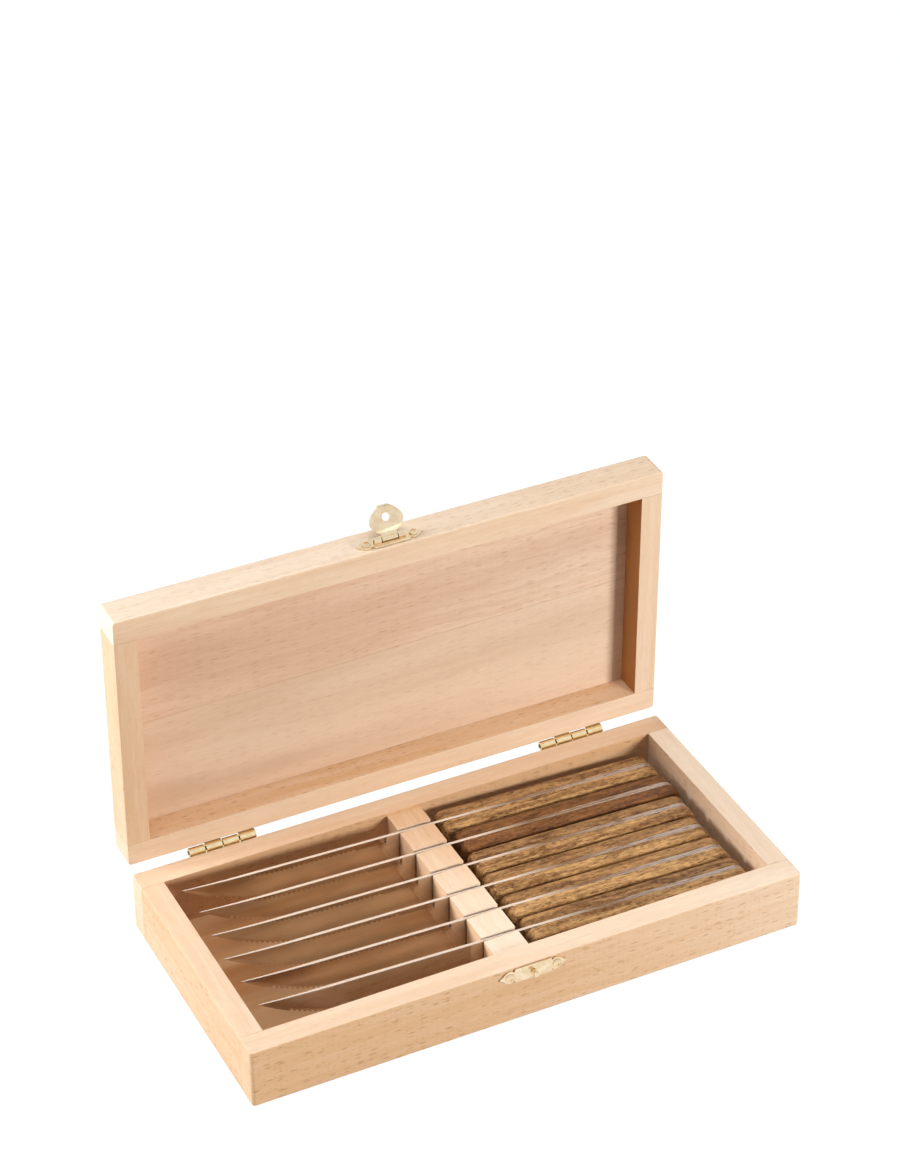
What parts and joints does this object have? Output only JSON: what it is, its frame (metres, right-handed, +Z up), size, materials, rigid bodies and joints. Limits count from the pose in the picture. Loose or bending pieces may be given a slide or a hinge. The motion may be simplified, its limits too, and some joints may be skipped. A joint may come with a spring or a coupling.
{
  "type": "knife display case",
  "caption": "Hinged beech presentation case with a slotted rack that holds a row of serrated steak knives, closed by a brass swing hasp over a stud.",
  "frame": {"origin": "centre of the case's underside, on the surface that it stands on", "axes": "+X along the case from the knife points to the handle ends, +Y to the hinges at the back, +Z up"},
  "size_m": [0.26, 0.1526, 0.1759],
  "materials": {
    "beech": "fine-sanded pale beech with short ray flecks",
    "beech_panel": "pale beech panel, glued up from wide staves",
    "handle_wood": "oiled golden-brown hardwood with open dark pores",
    "handle_dark_wood": "the same hardwood from a darker, redder board",
    "blade_steel": "mirror-polished stainless steel",
    "brass": "bright pale brass plate"
  },
  "bodies": {
    "tray": {"tray_front_board": "beech", "tray_back_board": "beech", "tray_left_board": "beech", "tray_right_board": "beech", "tray_panel": "beech_panel", "knife_rack": "beech", "left_hinge_tray_leaf": "brass", "left_hinge_tray_screw_1": "brass", "left_hinge_tray_screw_2": "brass", "left_hinge_pin": "brass", "right_hinge_tray_leaf": "brass", "right_hinge_tray_screw_1": "brass", "right_hinge_tray_screw_2": "brass", "right_hinge_pin": "brass", "catch_plate": "brass", "catch_stud": "brass", "catch_screw_1": "brass", "catch_screw_2": "brass"},
    "lid": {"lid_front_board": "beech", "lid_back_board": "beech", "lid_left_board": "beech", "lid_right_board": "beech", "lid_panel": "beech_panel", "left_hinge_lid_leaf": "brass", "left_hinge_lid_screw_1": "brass", "left_hinge_lid_screw_2": "brass", "right_hinge_lid_leaf": "brass", "right_hinge_lid_screw_1": "brass", "right_hinge_lid_screw_2": "brass", "hasp_plate": "brass", "hasp_pin": "brass", "hasp_screw_1": "brass", "hasp_screw_2": "brass"},
    "hasp": {"hasp_flap": "brass"},
    "knife_1": {"knife_1_blade": "blade_steel", "knife_1_back_scale": "handle_wood", "knife_1_front_scale": "handle_wood"},
    "knife_2": {"knife_2_blade": "blade_steel", "knife_2_back_scale": "handle_dark_wood", "knife_2_front_scale": "handle_dark_wood"},
    "knife_3": {"knife_3_blade": "blade_steel", "knife_3_back_scale": "handle_wood", "knife_3_front_scale": "handle_wood"},
    "knife_4": {"knife_4_blade": "blade_steel", "knife_4_back_scale": "handle_wood", "knife_4_front_scale": "handle_wood"},
    "knife_5": {"knife_5_blade": "blade_steel", "knife_5_back_scale": "handle_wood", "knife_5_front_scale": "handle_wood"},
    "knife_6": {"knife_6_blade": "blade_steel", "knife_6_back_scale": "handle_wood", "knife_6_front_scale": "handle_wood"}
  },
  "joints": [
    {"name": "lid_hinge", "type": "hinge", "parent": "tray", "child": "lid", "pos_m": [0, 0.0672, 0.029], "axis": [-1, 0, 0], "range_deg": [-89, 0]},
    {"name": "hasp_hinge", "type": "hinge", "parent": "lid", "child": "hasp", "pos_m": [-0.0011, 0.06997, 0.16262], "axis": [-1, 0, 0], "range_deg": [-115, 55]},
    {"name": "knife_1_lift", "type": "slide", "parent": "tray", "child": "knife_1", "axis": [0, 0, 1], "range_m": [0, 0.06]},
    {"name": "knife_2_lift", "type": "slide", "parent": "tray", "child": "knife_2", "axis": [0, 0, 1], "range_m": [0, 0.06]},
    {"name": "knife_3_lift", "type": "slide", "parent": "tray", "child": "knife_3", "axis": [0, 0, 1], "range_m": [0, 0.06]},
    {"name": "knife_4_lift", "type": "slide", "parent": "tray", "child": "knife_4", "axis": [0, 0, 1], "range_m": [0, 0.06]},
    {"name": "knife_5_lift", "type": "slide", "parent": "tray", "child": "knife_5", "axis": [0, 0, 1], "range_m": [0, 0.06]},
    {"name": "knife_6_lift", "type": "slide", "parent": "tray", "child": "knife_6", "axis": [0, 0, 1], "range_m": [0, 0.06]}
  ]
}
